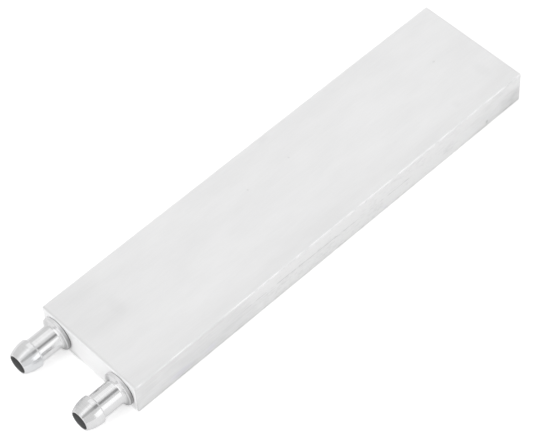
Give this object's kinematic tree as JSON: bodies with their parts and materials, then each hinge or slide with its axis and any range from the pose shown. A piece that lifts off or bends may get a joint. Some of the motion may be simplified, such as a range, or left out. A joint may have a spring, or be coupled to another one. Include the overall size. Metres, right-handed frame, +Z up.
{
  "type": "liquid cooling cold plate",
  "caption": "Flat aluminium liquid cooling plate: a multi-channel core closed by end caps, with turned hose barbs on one end for coolant in and out.",
  "frame": {"origin": "centre of the plate's bottom face", "axes": "+Z up through the thickness, +Y along the length away from the hose barbs, +X across the width towards the outlet"},
  "size_m": [0.04, 0.1755, 0.012],
  "materials": {
    "extruded_aluminium": "fine sanded, matte silver",
    "cap_aluminium": "fine sanded, matte silver",
    "turned_aluminium": "turned and bright"
  },
  "bodies": {
    "root": {"channel_body": "extruded_aluminium", "port_end_cap": "cap_aluminium", "return_end_cap": "cap_aluminium", "inlet_hose_barb": "turned_aluminium", "outlet_hose_barb": "turned_aluminium"}
  },
  "joints": []
}
